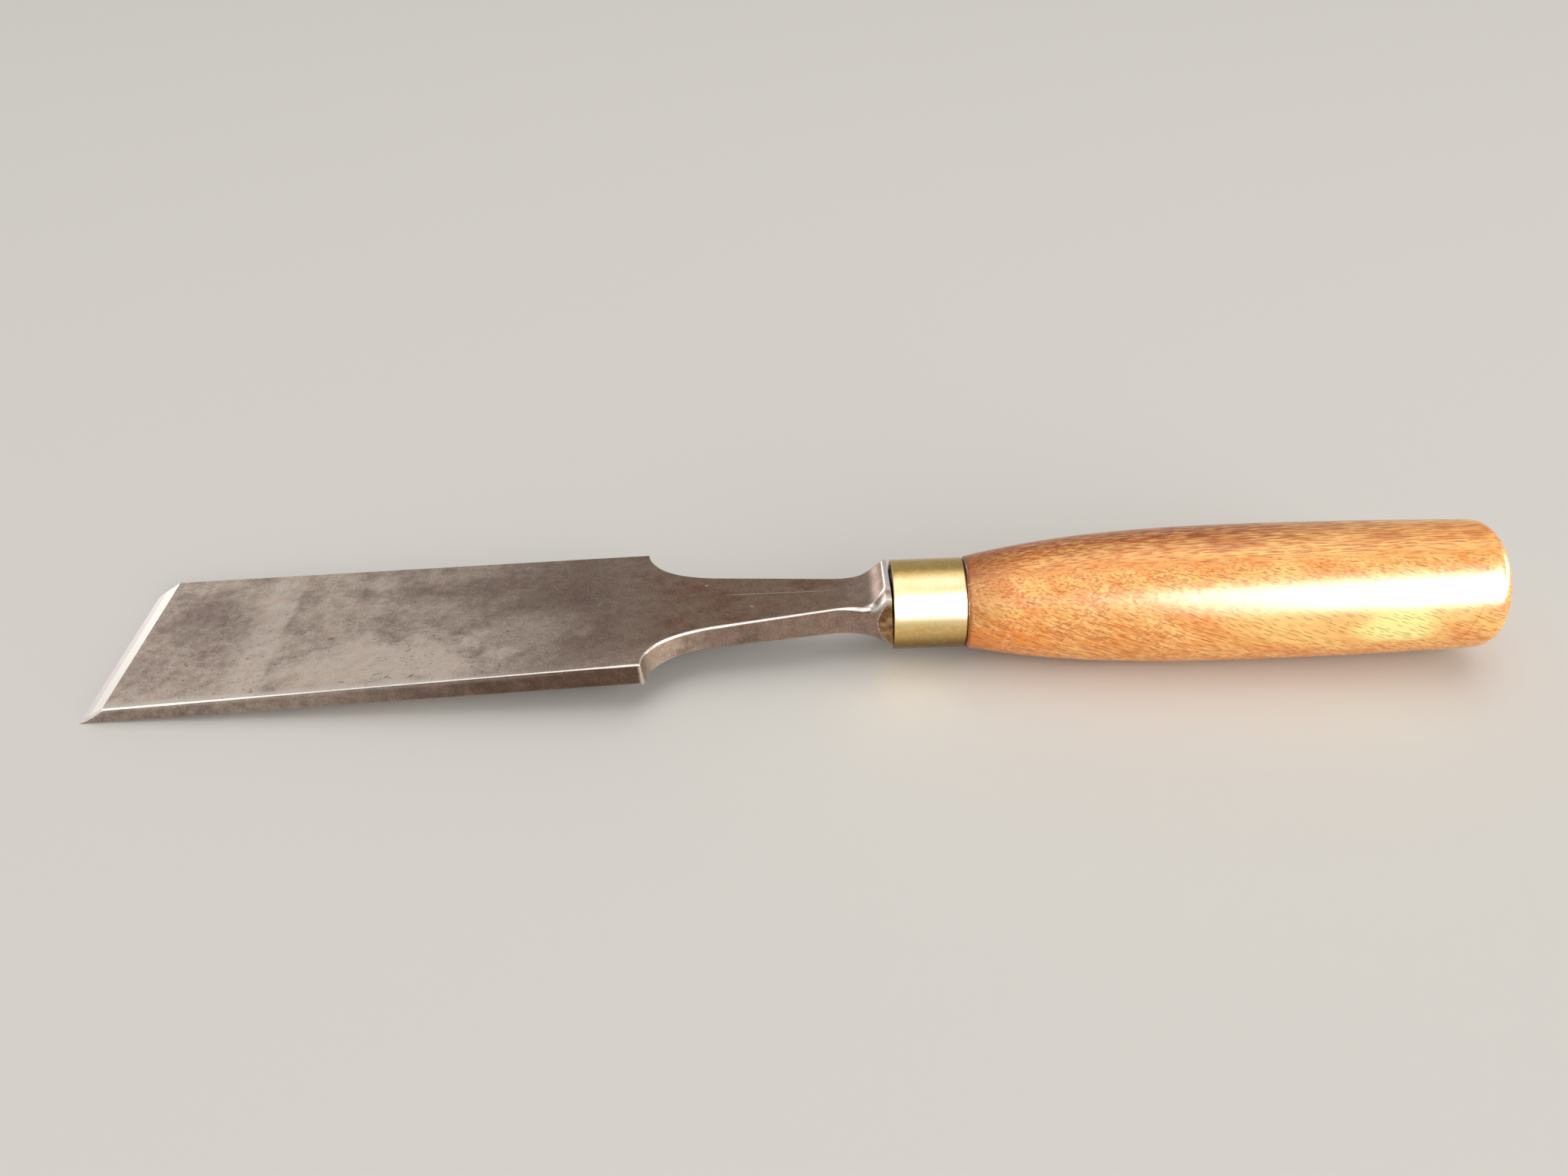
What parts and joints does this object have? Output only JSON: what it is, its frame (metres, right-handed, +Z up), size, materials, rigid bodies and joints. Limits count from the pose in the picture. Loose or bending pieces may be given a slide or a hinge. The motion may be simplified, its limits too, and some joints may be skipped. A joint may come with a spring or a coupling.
{
  "type": "wood chisel",
  "caption": "Tang firmer chisel with a flat, square-edged steel blade flaring to its bevel, a slim neck and bolster, a brass ferrule and a turned oak handle, for paring wood.",
  "frame": {"origin": "centre of the footprint on the bench, at bench height, as the chisel lies on its cutting edge and the belly of its handle", "axes": "+X from the cutting edge towards the end of the handle, +Z up from the bench, +Y across the blade"},
  "size_m": [0.2902, 0.0444, 0.0297],
  "materials": {
    "blade": "old tool steel worn to a warm grey satin, streaked along its length and lightly pitted, with a bright honed bevel and bright worn edges",
    "ferrule": "plain brass tube, finely brushed round its girth, with a few small nicks",
    "handle": "turned oak, honey coloured, open pored, oiled to a soft gloss"
  },
  "bodies": {
    "root": {"blade": "blade", "ferrule": "ferrule", "handle": "handle"}
  },
  "joints": []
}
